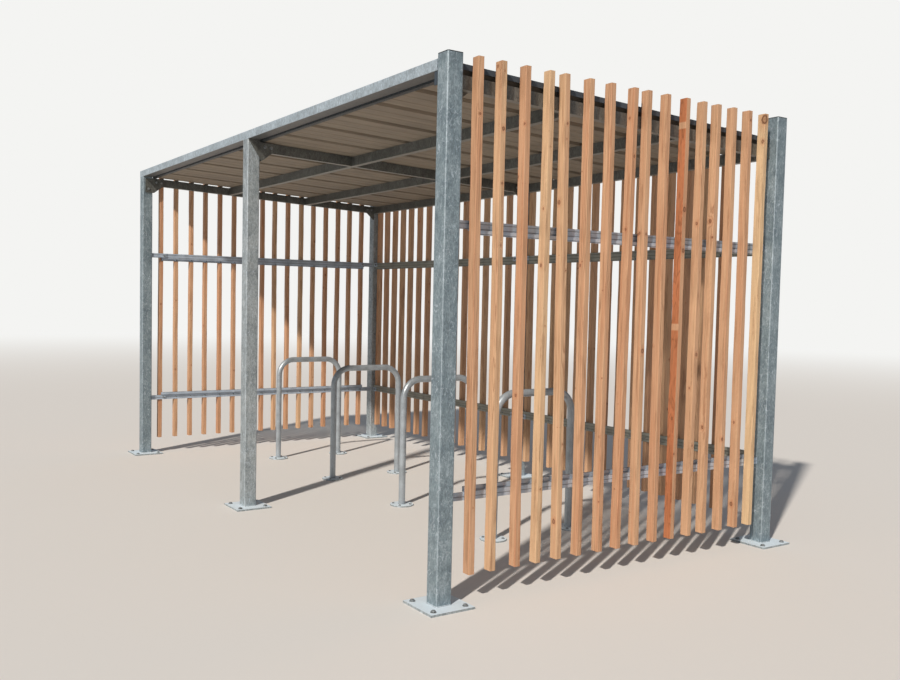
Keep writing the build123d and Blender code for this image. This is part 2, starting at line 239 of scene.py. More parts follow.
def bloom_marks(add, place):
    """Share of pale bloom on dipped zinc: curled commas in some patches, blisters in the others."""
    # Commas: the rims of curls 25 mm wide and 50 mm long, in patches 80 mm across
    rim = drawn(add, place, (25, 25, 50), 1.0, 1.1)
    rim = add(MATH, (rim, 0.5), operation="SUBTRACT")
    rim = add(MATH, (rim,), operation="ABSOLUTE")
    rim = add(RANGE, (rim, 0.0, 0.03, 0.65, 0.0))
    patch = add(NOISE, {"Vector": place, "Scale": 1 / 0.08, "Detail": 1.0})
    lined = add(RANGE, (patch, 0.46, 0.55))
    comma = add(MATH, (rim, lined), operation="MULTIPLY")
    # Blisters: bent rings and spots up to 25 mm across
    bent = add(NOISE, {"Vector": place, "Scale": 1 / 0.02, "Detail": 1.0}, "Color")
    bent = add(VECTOR, {0: bent, "Scale": 34 * MM}, operation="SCALE")
    bent = add(VECTOR, (place, bent), operation="ADD")
    blister = add(CELLS, {"Vector": bent, "Scale": 1 / 0.032}, "Distance")
    blister = add(RAMP, (blister,), stops=((0.0, 0.1), (0.16, 0.15), (0.24, 0.45), (0.34, 0.0)))
    spotted = add(RANGE, (patch, 0.5, 0.4, 0.0, 0.9))
    blister = add(MATH, (blister, spotted), operation="MULTIPLY")
    return add(MATH, (comma, blister), operation="MAXIMUM")


def dipped_zinc(name, dark, mid, pale, bloom, below):
    """Steel dipped in molten zinc and left to weather: a blue-grey skin, clouded and run downwards
    as it drained, with curled pale commas. A highlight is painted along each corner, upward faces
    are
    painted paler, partly as light from above, and undersides take a painted tone of their own:
    shade on most finishes, light from the floor on the steel under the roof."""
    material, add = surface(name)
    place = add("ShaderNodeTexCoord", out="Object")
    # Clouds about 110 mm across
    clouds = add(NOISE, {"Vector": place, "Scale": 1 / 0.11, "Detail": 4.0, "Distortion": 0.5})
    # Runs 16 mm wide and 45 mm long, drawn down the steel
    runs = drawn(add, place, (16, 16, 45), 3.0, 1.3)
    tone = add(MATH, (clouds, 0.5), operation="MULTIPLY")
    tone = add(MATH, (runs, 0.5, tone), operation="MULTIPLY_ADD")
    skin = add(RAMP, (tone,), stops=((0.32, dark), (0.5, mid), (0.68, pale)))
    skin = layered(add, skin, (bloom_marks(add, place), bloom))
    # Fine curls 9 mm wide and 20 mm long, pale on one side and dark on the other
    fine = drawn(add, place, (9, 9, 20), 1.0, 1.6)
    fine = add(RANGE, (fine, 0.42, 0.58, 0.84, 1.15))
    # Grain of 3 mm
    grain = add(NOISE, {"Vector": place, "Scale": 1 / 0.003, "Detail": 2.0})
    grain = add(RANGE, (grain, 0.3, 0.7, 0.88, 1.12))
    for share in (fine, grain):
        skin = add(VECTOR, {0: skin, "Scale": share}, operation="SCALE")
    # A bright line is painted on each corner, where the surface turns from one axis to another: a
    # painted highlight
    normal = add("ShaderNodeNewGeometry", out="Normal")
    facing = add(VECTOR, (normal,), operation="ABSOLUTE")
    facing = add(SPLIT, (facing,), None)
    flat = add(MATH, (facing[0], facing[1]), operation="MAXIMUM")
    flat = add(MATH, (flat, facing[2]), operation="MAXIMUM")
    corner = add(RANGE, (flat, 0.84, 0.74, 0.0, 0.5))
    # Upward faces are painted paler: partly chalky weathering, partly painted light from above.
    # Undersides take a painted tone of their own: painted shade on most finishes, and painted light
    # thrown up from the floor on the steel under the roof.
    rise = add(SPLIT, (normal,), "Z")
    up = add(RANGE, (rise, 0.7, 0.95, 0.0, 0.9))
    down = add(RANGE, (rise, -0.7, -0.95, 0.0, 0.85))
    skin = layered(add, skin, (corner, bloom), (up, times(bloom, 1.42)), (down, below))
    sockets = {
        "Base Color": skin,
        "Roughness": add(RANGE, (tone, 0.35, 0.65, 0.4, 0.6)),
        "Metallic": add(RANGE, (up, 0.0, 1.0, 0.35, 0.05)),
        "Normal": add("ShaderNodeBump", {"Height": runs, "Strength": 0.25, "Distance": 0.4 * MM}),
    }
    return shaded(material, sockets)


def coated_zinc(name, base, ribbed=False):
    """Steel zinc coated in the mill, then folded or drawn: smooth and bluish, faintly clouded, with
    a fine even spangle and a satin sheen. Folded strip also shows the lines of its rolls, dented
    and painted dark as shade in the folds."""
    material, add = surface(name)
    place = add("ShaderNodeTexCoord", out="Object")
    # Crystals 6 mm across
    crystal = add(CELLS, {"Vector": place, "Scale": 1 / 0.006}, "Color")
    crystal = add("ShaderNodeSeparateColor", (crystal,))
    # Clouds 70 mm across
    clouds = add(NOISE, {"Vector": place, "Scale": 1 / 0.07, "Detail": 5.0})
    tone = add(MATH, (crystal, 0.16, clouds), operation="MULTIPLY_ADD")
    skin = add(RAMP, (tone,), stops=((0.38, times(base, 0.82)), (0.75, times(base, 1.16))))
    sockets = {
        "Roughness": add(RANGE, (tone, 0.3, 0.8, 0.28, 0.44)),
        "Metallic": 0.15 if ribbed else 0.4,
    }
    if ribbed:
        # Roll lines 22 mm apart and up to 6 mm wide: dented, and painted dark as shade in the folds
        groove = add(SPLIT, (place,), "Z")
        groove = add(MATH, (groove, 11 * MM), operation="PINGPONG")
        groove = add(RANGE, (groove, 0.0, 3 * MM, 0.32, 1.1))
        skin = add(VECTOR, {0: skin, "Scale": groove}, operation="SCALE")
        dent = {"Height": groove, "Strength": 0.6, "Distance": 1.2 * MM}
        sockets["Normal"] = add("ShaderNodeBump", dent)
    return shaded(material, {"Base Color": skin, **sockets})


def rolled_zinc(name, base):
    """The zinc-coated steel of the rails, folded from strip."""
    return coated_zinc(name, base, ribbed=True)


def plated_zinc(name, base):
    """Bright zinc plating on small steel parts, gone dull outdoors, with dirt in its hollows."""
    material, add = surface(name)
    place = add("ShaderNodeTexCoord", out="Object")
    # Dirt in spots 8 mm across
    dirt = add(NOISE, {"Vector": place, "Scale": 1 / 0.008, "Detail": 3.0})
    skin = add(RAMP, (dirt,), stops=((0.35, times(base, 0.5)), (0.65, times(base, 1.05))))
    sheen = add(RANGE, (dirt, 0.0, 1.0, 0.6, 0.36))
    return shaded(material, {"Base Color": skin, "Roughness": sheen, "Metallic": 0.6})


# Distances from the middle, in metres, between which the roof's backing coat is painted dark:
# painted shade under the overhang beyond the end beams
PAINTED_SHADE_FROM, PAINTED_SHADE_TO = 2.135, 2.15


def coil_coat(name, top, under):
    """Steel sheet, coil coated before it was rolled: matt slate lacquer on the weather side, a
    thinner grey-beige backing coat beneath, dusty and faintly stained along the fall."""
    material, add = surface(name)
    place = add("ShaderNodeTexCoord", out="Object")
    rise = add("ShaderNodeNewGeometry", out="Normal")
    rise = add(SPLIT, (rise,), "Z")
    below = add(RANGE, (rise, -0.02, -0.06))
    # Stains 30 mm wide and 400 mm long down the fall, and dust in drifts 250 mm across
    stains = drawn(add, place, (30, 400, 30), 4.0)
    dust = add(NOISE, {"Vector": place, "Scale": 1 / 0.25, "Detail": 6.0})
    tone = add(MATH, (stains, dust), operation="ADD")
    tone = add(MATH, (tone, 0.5), operation="MULTIPLY")
    weather = add(RAMP, (tone,), stops=((0.36, times(top, 0.88)), (0.64, times(top, 1.2))))
    backing = add(RAMP, (tone,), stops=((0.35, times(under, 0.8)), (0.62, times(under, 1.1))))
    # Beyond the end beams the backing coat is painted near black: painted shade under the overhang
    outer = add(SPLIT, (place,), "X")
    outer = add(MATH, (outer,), operation="ABSOLUTE")
    outer = add(RANGE, (outer, PAINTED_SHADE_FROM, PAINTED_SHADE_TO, 0.0, 0.85))
    backing = layered(add, backing, (outer, times(under, 0.1)))
    skin = layered(add, weather, (below, backing))
    sheen = add(RANGE, (dust, 0.3, 0.7, 0.62, 0.8))
    return shaded(material, {"Base Color": skin, "Roughness": sheen, "Metallic": 0.0, "IOR": 1.5})


# Heights in millimetres of the pale bands on the red face, from the foot of the batten
BLUSH_GAPS = (2091, 1082)
# Large knots that each batten can carry, beside the small ones that come by rule
KNOTS = ("knot_a", "knot_b", "knot_c")


def knot_distance(add, stick, height, seed, shift, sizes):
    """How far a place is from the nearest knot's heart, in that knot's radii."""
    # Branches every 400 mm or so: each runs out from the pith through the batten, as a rod across
    # it that is a quarter taller than wide. Half of them are too thin to show.
    level = add(MATH, (height, 1 / 0.4, seed), operation="MULTIPLY_ADD")
    branch = add(CELLS, {"W": level, "Scale": 1.0}, None, voronoi_dimensions="1D")
    chance = add(SPLIT, (branch["Color"],), "Z")
    rise = add(MATH, (level, branch["W"]), operation="SUBTRACT")
    rise = add(MATH, (rise, 0.4 * 0.8), operation="MULTIPLY")
    target = add(VECTOR, (branch["Color"], (0.5, 0.5, 0.0)), operation="SUBTRACT")
    target = add(VECTOR, (target, (0.024, 0.036, 0.0)), operation="MULTIPLY")
    along = add(VECTOR, (target, shift), operation="ADD")
    along = add(VECTOR, (along, (1.0, 1.0, 0.0)), operation="MULTIPLY")
    along = add(VECTOR, (along,), operation="NORMALIZE")
    away = add(VECTOR, (stick, target), operation="SUBTRACT")
    side = add(VECTOR, (away, along), operation="CROSS_PRODUCT")
    side = add(SPLIT, (side,), "Z")
    reach = add(COMBINE, (side, rise))
    reach = add(VECTOR, (reach,), "Value", operation="LENGTH")
    thick = add(RANGE, (chance, 0.5, 1.0, 0.4 * MM, 4.5 * MM))
    near = add(MATH, (reach, thick), operation="DIVIDE")
    # The knots that the points carry are a third taller than wide
    for index, label in enumerate(KNOTS):
        heart = add("ShaderNodeAttribute", out="Vector", attribute_name=label)
        away = add(VECTOR, (stick, heart), operation="SUBTRACT")
        away = add(VECTOR, (away, (1.0, 1.0, 0.75)), operation="MULTIPLY")
        reach = add(VECTOR, (away,), "Value", operation="LENGTH")
        reach = add(MATH, (reach, sizes[index]), operation="DIVIDE")
        near = add(MATH, (near, reach), operation="MINIMUM")
    # Their outlines are ragged
    ragged = add(NOISE, {"Vector": stick, "Scale": 1 / 0.006, "Detail": 1.0})
    ragged = add(MATH, (ragged, 0.6, 0.7), operation="MULTIPLY_ADD")
    return add(MATH, (near, ragged), operation="MULTIPLY")


def year_rings(add, trunk, near):
    """The trunk's rings: dark late wood lines, bowed out by up to 8 mm round the knots."""
    bend = add(RANGE, (near, 4.5, 0.5, 0.0, 8 * MM), interpolation_type="SMOOTHSTEP")
    # The trunk wanders: a slow drift of up to 12 mm either way over 350 mm
    drift = drawn(add, trunk, (60, 60, 350), 2.0)
    drift = add(MATH, (drift, 24 * MM, bend), operation="MULTIPLY_ADD")
    across = add(VECTOR, (trunk, (1.0, 1.0, 0.0)), operation="MULTIPLY")
    radius = add(VECTOR, (across,), "Value", operation="LENGTH")
    radius = add(MATH, (radius, drift), operation="ADD")
    # Rings are 2 to 3 mm apart on the real wood. They are drawn 5 mm apart, so that they show.
    rings = add(MATH, (radius, 5 * MM), operation="DIVIDE")
    rings = add(MATH, (rings,), operation="FRACT")
    return add(RAMP, (rings,), stops=((0.0, 0.0), (0.5, 0.1), (0.88, 1.0), (1.0, 0.0)))


def red_face(add, across, height, blush):
    """Share of red heartwood on the one face, broken by two pale bands about 30 mm tall."""
    gap = 1.0
    for band in BLUSH_GAPS:
        off = add(MATH, (height, band * MM), operation="SUBTRACT")
        off = add(MATH, (off,), operation="ABSOLUTE")
        off = add(RANGE, (off, 14 * MM, 19 * MM))
        gap = add(MATH, (off, gap), operation="MINIMUM")
    face = add(RANGE, (across, -12 * MM, -14 * MM))
    for share in (face, gap, 0.8):
        blush = add(MATH, (blush, share), operation="MULTIPLY")
    return blush


def sawn_larch(name, yellow, tan, red, grain, rim, dirt, cut):
    """Larch, sawn and oiled: rings cut lengthways into streaks and arches, knots with dark rims and
    the grain bowed round them, greyer ends. Each batten has its tone; one shows red heartwood."""
    material, add = surface(name)
    stick, sizes = (
        add("ShaderNodeAttribute", out="Vector", attribute_name=label)
        for label in ("stick", "knot_sizes")
    )
    seed, tone, blush = (
        add("ShaderNodeAttribute", out="Fac", attribute_name=label)
        for label in ("seed", "tone", "blush")
    )
    across, _, height = add(SPLIT, (stick,), None)
    sizes = add(SPLIT, (sizes,), None)
    # Each batten comes from another part of a trunk, its pith up to 65 mm away on either axis
    shift = add("ShaderNodeTexWhiteNoise", {"W": seed}, "Color", noise_dimensions="1D")
    shift = add(VECTOR, (shift, (0.5, 0.5, 0.0)), operation="SUBTRACT")
    shift = add(VECTOR, (shift, (0.13, 0.13, 7.0)), operation="MULTIPLY")
    trunk = add(VECTOR, (stick, shift), operation="ADD")
    near = knot_distance(add, stick, height, seed, shift, sizes)
    late = year_rings(add, trunk, near)
    blush = red_face(add, across, height, blush)
    # Fibres 4 mm wide and 160 mm long
    fibre = drawn(add, trunk, (4, 4, 160), 4.0)
    # Bands of heartwood and sapwood 14 mm wide and 600 mm long
    band = drawn(add, trunk, (14, 14, 600), 2.0)
    wash = add(MATH, (band, 0.6, tone), operation="MULTIPLY_ADD")
    wash = add(MATH, (wash, 0.3), operation="SUBTRACT")
    wood = add(RAMP, (wash,), stops=((0.0, yellow), (0.5, tan), (1.0, red)))
    # Brown stains 20 mm wide and 250 mm long, and redder wood about each knot
    stain = drawn(add, trunk, (20, 20, 250), 3.0)
    stain = add(RANGE, (stain, 0.56, 0.66, 0.0, 0.5))
    halo = add(RANGE, (near, 3.2, 1.2, 0.0, 0.3))
    # Rings show strongly in some lengths and hardly in others
    bold = drawn(add, trunk, (50, 50, 300), 0.0)
    bold = add(RANGE, (bold, 0.35, 0.65, 0.1, 0.6))
    line = add(MATH, (late, bold), operation="MULTIPLY")
    # The red face is sawn along the rings: they show as tall dark arches 30 mm wide
    arch = drawn(add, trunk, (30, 30, 140), 1.0)
    arch = add(MATH, (arch, 4.5), operation="MULTIPLY")
    arch = add(MATH, (arch,), operation="FRACT")
    arch = add(RAMP, (arch,), stops=((0.0, 0.0), (0.55, 0.1), (0.85, 1.0), (1.0, 0.0)))
    arch = add(MATH, (arch, blush), operation="MULTIPLY")
    line = add(MATH, (line, arch), operation="MAXIMUM")
    wood = layered(add, wood, (blush, red), (stain, dirt), (halo, red), (line, grain))
    streak = add(RANGE, (fibre, 0.3, 0.7, 0.82, 1.12))
    wood = add(VECTOR, {0: wood, "Scale": streak}, operation="SCALE")
    # A knot is dark at its rim and at its heart
    knot = add(MATH, (near, 0.5), operation="MULTIPLY")
    dark = ((0.0, 0.7), (0.22, 0.35), (0.4, 0.9), (0.5, 0.9), (0.62, 0.0))
    knot = add(RAMP, (knot,), stops=dark)
    # Cut ends drink more and go greyer
    end = add("ShaderNodeNewGeometry", out="Normal")
    end = add(VECTOR, (end,), operation="ABSOLUTE")
    end = add(SPLIT, (end,), "Z")
    end = add(RANGE, (end, 0.8, 0.95, 0.0, 0.6))
    wood = layered(add, wood, (knot, rim), (end, cut))
    sockets = {
        "Base Color": wood,
        "Roughness": add(RANGE, (fibre, 0.0, 1.0, 0.58, 0.78)),
        "Metallic": 0.0,
        "IOR": 1.5,
        "Normal": add("ShaderNodeBump", {"Height": fibre, "Strength": 0.5, "Distance": 0.6 * MM}),
    }
    return shaded(material, sockets)


def shades(stem, ends):
    """Names of the colours that share a stem."""
    return tuple(f"{stem}_{end}" for end in ends.split())


# Each finish: the function that makes it, its name and the colours it takes
# The last colour of each dipped finish is painted on its undersides: painted shade, except on the
# steel under the roof, where it is painted light from the floor
ZINC, DULL = shades("zinc", "dark mid pale bloom dark"), shades("dull", "dark mid pale")
BEAM, INNER = shades("beam", "dark mid pale"), shades("inner", "dark mid pale pale under")
LARCH = shades("larch", "yellow tan red grain knot stain end")
FINISHES = {
    "dipped": (dipped_zinc, "dipped_zinc_steel", ZINC),
    "dull": (dipped_zinc, "dipped_zinc_steel_dull", (*DULL, "zinc_bloom", "dull_dark")),
    "beam": (dipped_zinc, "dipped_zinc_steel_bright", (*BEAM, "zinc_bloom", "beam_under")),
    "inner": (dipped_zinc, "dipped_zinc_steel_sheltered", INNER),
    "strip": (rolled_zinc, "zinc_coated_strip", ("strip_zinc",)),
    "strip_shade": (rolled_zinc, "zinc_coated_strip_dull", ("strip_shade",)),
    "tube": (coated_zinc, "zinc_coated_tube", ("tube_zinc",)),
    "bolt": (plated_zinc, "zinc_plated_bolt_steel", ("bolt_zinc",)),
    "cap": (plated_zinc, "pressed_cap_steel", ("cap",)),
    "coat": (coil_coat, "coil_coated_steel", ("sheet_top", "sheet_under")),
    "trim": (coil_coat, "coil_coated_steel_trim", ("sheet_top", "trim_under")),
    "larch": (sawn_larch, "sawn_oiled_larch", LARCH),
}
made = {}


def finish(kind):
    """The material of that kind, made the first time it is asked for."""
    if kind not in made:
        maker, name, labels = FINISHES[kind]
        colours = bpy.context.scene.shelter_colours
        made[kind] = maker(name, *[tuple(getattr(colours, label)) for label in labels])
    return made[kind]


# Growing pieces from rules


def rule(name, sizes):
    """A Geometry Nodes tree that takes points, sizes and a finish, and what adds its nodes."""
    tree = bpy.data.node_groups.new(name, "GeometryNodeTree")
    tree.interface.new_socket(name="Points", in_out="INPUT", socket_type="NodeSocketGeometry")
    for label in sizes:
        tree.interface.new_socket(name=label, in_out="INPUT", socket_type="NodeSocketFloat")
    tree.interface.new_socket(name="Finish", in_out="INPUT", socket_type="NodeSocketMaterial")
    tree.interface.new_socket(name="Result", in_out="OUTPUT", socket_type="NodeSocketGeometry")
    return tree, partial(put, tree), put(tree, "NodeGroupInput", out=None)


def close(tree, entry, geometry):
    """Ends a tree: instances become real faces and take the finish."""
    real = put(tree, "GeometryNodeRealizeInstances", (geometry,))
    dressed = {"Geometry": real, "Material": entry["Finish"]}
    put(tree, "NodeGroupOutput", (put(tree, "GeometryNodeSetMaterial", dressed),), None)
    return tree


def dots(name, places, edges=(), **values):
    """A mesh of loose points that carries one value per point for each name given."""
    mesh = bpy.data.meshes.new(name)
    mesh.from_pydata(places, edges, [])
    for label, numbers in values.items():
        if hasattr(numbers[0], "__len__"):
            layer = mesh.attributes.new(label, "FLOAT_VECTOR", "POINT")
            layer.data.foreach_set("vector", [v for row in numbers for v in row])
        else:
            layer = mesh.attributes.new(label, "FLOAT", "POINT")
            layer.data.foreach_set("value", numbers)
    return mesh


def key(label):
    """A socket's label as the name of an argument."""
    return label.lower().replace(" ", "_")


def grow(name, tree, mesh, kind, slot, stands_for=(), **sizes):
    """Runs a tree over a mesh of points and keeps the result as a plain mesh on the body."""
    piece = bpy.data.objects.new(name, mesh)
    bpy.context.scene.collection.objects.link(piece)
    modifier = piece.modifiers.new("Rule", "NODES")
    modifier.node_group = tree
    values = {"finish": finish(kind), **sizes}
    for item in tree.interface.items_tree:
        if item.in_out == "INPUT" and key(item.name) in values:
            modifier[item.identifier] = values[key(item.name)]
    graph = bpy.context.evaluated_depsgraph_get()
    result = bpy.data.meshes.new_from_object(
        piece.evaluated_get(graph), preserve_all_data_layers=True, depsgraph=graph
    )
    piece.modifiers.clear()
    piece.data = result
    result.name = name
    if not result.polygons:
        raise RuntimeError(f"{name} came out empty")
    return settle(piece, slot, stands_for)


def settle(piece, slot, stands_for=()):
    """Puts a finished piece on the shelter's body, and hides the frame nodes it stands for. Its
    material slot is not used.
    """
    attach(piece, BODY)
    if stands_for:
        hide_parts(*stands_for)
    return piece


# Battens

STICKS = 16
# Millimetres that each foot stands off even spacing, and that each top leans off its foot
END_RIGHT_SHIFT = (4, -6, 5, 0, 1, 1, 8, 4, 4, 8, 7, 9, -5, 0, 1, -6)
END_RIGHT_LEAN = (-13, -3, -6, 9, -27, -3, 0, 28, -7, -6, 10, 9, 5, -3, -7, 7)
END_LEFT_SHIFT = (-18, -12, -11, -10, -5, -6, 3, 11, 5, 1, 1, 2, 2, -1, -4, -5)
END_LEFT_LEAN = (7, 0, 4, 0, -2, 2, 1, -4, -8, -1, 5, -1, 1, 4, 1, 4)
BACK_LEFT_SHIFT = (0, -5, -5, -8, -7, -2, 1, 3, -2, 4, 0, -3, 5, 2, 16, 0)
BACK_LEFT_LEAN = (2, -3, 1, 4, -2, 0, 5, -4, 3, -1, 2, -5, 0, 3, -3, 1)
BACK_RIGHT_SHIFT = (1, -4, 3, 0, -6, 2, 5, -2, 4, -3, 0, 6, -4, 2, -1, 0)
BACK_RIGHT_LEAN = (-2, 4, -1, 3, 0, -5, 2, 6, -3, 1, -4, 0, 5, -2, 3, -1)
# From yellow at 0 through tan to red at 1
END_RIGHT_TONE = (
    *(0.52, 0.36, 0.56, 0.22, 0.36, 0.5, 0.52, 0.58),
    *(0.48, 0.54, 0.5, 0.46, 0.46, 0.48, 0.52, 0.05),
)
USUAL_TONES = (0.3, 0.62)
# The batten whose front face is red heartwood
END_RIGHT_BLUSH = 10
# Knots on the right end wall: batten, height, place across and through it, and radius, in
# millimetres. Battens count from 0 at the front, and heights from the ground.
END_RIGHT_KNOTS = (
    (0, 1200, -15, 5, 2),
    (0, 420, 2, -22, 2),
    (1, 2330, -15, 6, 5),
    (1, 2062, 2, -22, 6),
    (1, 1828, 2, -22, 4),
    (2, 2098, -13, -18, 4),
    (2, 1870, -13, 20, 5),
    (2, 900, -15, -4, 5),
    (3, 1738, -15, -3, 4),
    (4, 2128, 2, -22, 4),
    (4, 1775, -15, 6, 7),
    (4, 300, -15, 0, 8),
    (7, 1677, -15, 0, 5),
    (7, 2025, 2, -22, 5),
    (8, 1665, -15, 6, 5),
    (8, 1660, 2, -22, 5),
    (8, 1090, 2, -22, 8),
    (10, 1798, 0, -22, 9),
    (10, 1593, 2, -22, 8),
    (10, 742, -15, -6, 6),
    (11, 1736, -15, -6, 6),
    (11, 1066, 2, -22, 6),
    (11, 892, -15, 0, 4),
    (12, 1756, -15, 0, 7),
    (12, 1671, -14, -18, 4),
    (12, 682, -15, 0, 6),
    (14, 2301, 2, -22, 5),
    (14, 694, -15, 2, 5),
    (14, 250, -15, 0, 8),
    (15, 2320, -13, -20, 17),
    (15, 2203, -15, -14, 7),
)
# Filler where a batten has fewer large knots than it can carry
NO_KNOT = (0, 0, 0, 0.01)
# Knots that come by chance, on battens that have fewer given: at least so many to a batten, the
# share on its wide faces, where those and the narrow faces lie, and how far off their middles,
# how high and how large a knot may be, in millimetres
LEAST_KNOTS = 2
WIDE_SHARE = 0.6
WIDE_FACE, NARROW_FACE = 15, 22
OFF_WIDE, OFF_NARROW = 15, 9
KNOT_HEIGHTS = (180, 2250)
KNOT_RADII = (2.5, 6.5)


def stands(node, end_wall, shifts):
    """Where each batten of a wall stands along it."""
    low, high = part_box(node)
    axis = 1 if end_wall else 0
    half = bpy.context.scene.shelter_sizes.batten_width / 2
    pitch = (high[axis] - low[axis] - 2 * half) / (STICKS - 1)
    return [low[axis] + half + pitch * n + shift * MM for n, shift in enumerate(shifts)]


def chance_knot(chance):
    """A knot's height, its place across and through the batten, and its radius."""
    side = chance.choice((-1, 1))
    if chance.random() < WIDE_SHARE:
        spot = (WIDE_FACE * side, chance.uniform(-OFF_WIDE, OFF_WIDE))
    else:
        spot = (chance.uniform(-OFF_NARROW, OFF_NARROW), NARROW_FACE * side)
    return (chance.uniform(*KNOT_HEIGHTS), *spot, chance.uniform(*KNOT_RADII))


def batten_wall(name, node, end_wall, shifts, leans, seed, tones=(), marks=(), blushed=None):
    """One wall of battens: the points their feet stand on, each with its lean, tone and knots."""
    low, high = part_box(node)
    middle = (low + high) / 2
    chance = random.Random(seed)
    places = []
    tone = []
    knots = {label: [] for label in KNOTS}
    radii = []
    for number, along in enumerate(stands(node, end_wall, shifts)):
        places.append((middle.x, along, low.z) if end_wall else (along, middle.y, low.z))
        usual = chance.uniform(*USUAL_TONES)
        tone.append(tones[number] if tones else usual)
        given = [mark[1:] for mark in marks if mark[0] == number]
        while len(given) < LEAST_KNOTS:
            given.append(chance_knot(chance))
        given = (given + [NO_KNOT])[: len(KNOTS)]
        for label, (height, across, through, _) in zip(KNOTS, given):
            knots[label].append((across * MM, through * MM, height * MM - low.z))
        radii.append([radius * MM for *_, radius in given])
    mesh = dots(
        name,
        places,
        lean=[lean * MM for lean in leans],
        tone=tone,
        blush=[float(number == blushed) for number in range(STICKS)],
        seed=[seed + number * 1.37 for number in range(STICKS)],
        knot_sizes=radii,
        **knots,
    )
    return mesh, high.z - low.z


def batten_rule():
    """Tree: a stick with eased long edges on each point, leaning and bowed as its point says."""
    tree, add, entry = rule(
        "Larch battens", ("Width", "Thickness", "Length", "Arris", "Bow", "Wane", "Turn")
    )
    section = {"Width": entry["Width"], "Height": entry["Thickness"]}
    section = add("GeometryNodeCurvePrimitiveQuadrilateral", section)
    section = {"Curve": section, "Radius": entry["Arris"], "Count": 2}
    section = add("GeometryNodeFilletCurve", section, mode="POLY")
    # Rings of points 38 mm apart let the stick bend
    top = add(COMBINE, {"Z": entry["Length"]})
    line = add("GeometryNodeCurvePrimitiveLine", {"End": top})
    line = add("GeometryNodeResampleCurve", {"Curve": line, "Count": 60})
    stick = {"Curve": line, "Profile Curve": section, "Fill Caps": True}
    stick = add("GeometryNodeCurveToMesh", stick)
    # The finish follows each stick by its own coordinates, from before it leans
    own = add("GeometryNodeInputPosition")
    stick = add(
        "GeometryNodeStoreNamedAttribute",
        {"Geometry": stick, "Name": "stick", "Value": own},
        data_type="FLOAT_VECTOR",
        domain="POINT",
    )
    stick = add("GeometryNodeSetShadeSmooth", {"Geometry": stick, "Shade Smooth": False})
    turn = add("FunctionNodeAxisAngleToRotation", {"Axis": (0, 0, 1), "Angle": entry["Turn"]})
    stood = {"Points": entry["Points"], "Instance": stick, "Rotation": turn}
    stood = add("GeometryNodeInstanceOnPoints", stood)
    stood = add("GeometryNodeRealizeInstances", (stood,))
    local = add("GeometryNodeInputNamedAttribute", {"Name": "stick"}, data_type="FLOAT_VECTOR")
    lean, seed = (
        add("GeometryNodeInputNamedAttribute", {"Name": label}, data_type="FLOAT")
        for label in ("lean", "seed")
    )
    share = add(SPLIT, (local,), "Z")
    share = add(MATH, (share, entry["Length"]), operation="DIVIDE")
    lean = add(MATH, (lean, share), operation="MULTIPLY")
    # Bow: two slow waves along the stick, one across the wall and one through it
    wave = add(MATH, (share, 2.5, seed), operation="MULTIPLY_ADD")
    wave = {"W": wave, "Scale": 1.0, "Detail": 1.0}
    wave = add(NOISE, wave, "Color", noise_dimensions="1D")
    wave = add(VECTOR, (wave, (0.5, 0.5, 0.5)), operation="SUBTRACT")
    wave = add(VECTOR, {0: wave, "Scale": entry["Bow"]}, operation="SCALE")
    wave = add(VECTOR, (wave, (2.0, 0.6, 0.0)), operation="MULTIPLY")
    # Wane: in lengths of 160 mm here and there, the long edges dip towards the stick's heart
    dip = add(VECTOR, (local, (1 / 0.03, 1 / 0.03, 1 / 0.16)), operation="MULTIPLY")
    dip = {"Vector": dip, "W": seed, "Scale": 1.0, "Detail": 1.0}
    dip = add(NOISE, dip, noise_dimensions="4D")
    dip = add(RANGE, (dip, 0.5, 0.75, 0.0, entry["Wane"]))
    inward = add(VECTOR, (local, (-1.0, -1.0, 0.0)), operation="MULTIPLY")
    inward = add(VECTOR, (inward,), operation="NORMALIZE")
    inward = add(VECTOR, {0: inward, "Scale": dip}, operation="SCALE")
    off = add(COMBINE, {"X": lean})
    for part in (wave, inward):
        off = add(VECTOR, (off, part), operation="ADD")
    off = {"Vector": off, "Angle": entry["Turn"]}
    off = add("ShaderNodeVectorRotate", off, rotation_type="Z_AXIS")
    moved = add("GeometryNodeSetPosition", {"Geometry": stood, "Offset": off})
    return close(tree, entry, moved)


# Each wall: its piece, the node it stands for, whether it runs front to back, how its battens
# shift and lean, and its seed
WALLS = (
    ("battens_right_end", "battens_end_right", True, END_RIGHT_SHIFT, END_RIGHT_LEAN, 11),
    ("battens_left_end", "battens_end_left", True, END_LEFT_SHIFT, END_LEFT_LEAN, 23),
    ("battens_left_back", "battens_back_left", False, BACK_LEFT_SHIFT, BACK_LEFT_LEAN, 37),
    ("battens_right_back", "battens_back_right", False, BACK_RIGHT_SHIFT, BACK_RIGHT_LEAN, 51),
)
SEEN_CLOSE = {"battens_right_end": (END_RIGHT_TONE, END_RIGHT_KNOTS, END_RIGHT_BLUSH)}


class SHELTER_OT_battens(bpy.types.Operator):
    """Stands sixteen sawn larch battens in each of the four walls"""

    bl_idname = "shelter.battens"
    bl_label = "Larch Battens"

    def execute(self, context):
        sizes = context.scene.shelter_sizes
        tree = batten_rule()
        for name, node, end_wall, *habits in WALLS:
            seen = SEEN_CLOSE.get(name, ())
            mesh, tall = batten_wall(name, node, end_wall, *habits, *seen)
            grow(
                name,
                tree,
                mesh,
                "larch",
                "larch",
                (node,),
                width=sizes.batten_width,
                thickness=sizes.batten_thickness,
                length=tall,
                arris=sizes.batten_arris,
                bow=sizes.batten_bow,
                wane=sizes.batten_wane,
                turn=math.pi / 2 if end_wall else 0.0,
            )
        return {"FINISHED"}


# Hoops

HOOPS = ("hoop_1", "hoop_2", "hoop_3", "hoop_4")


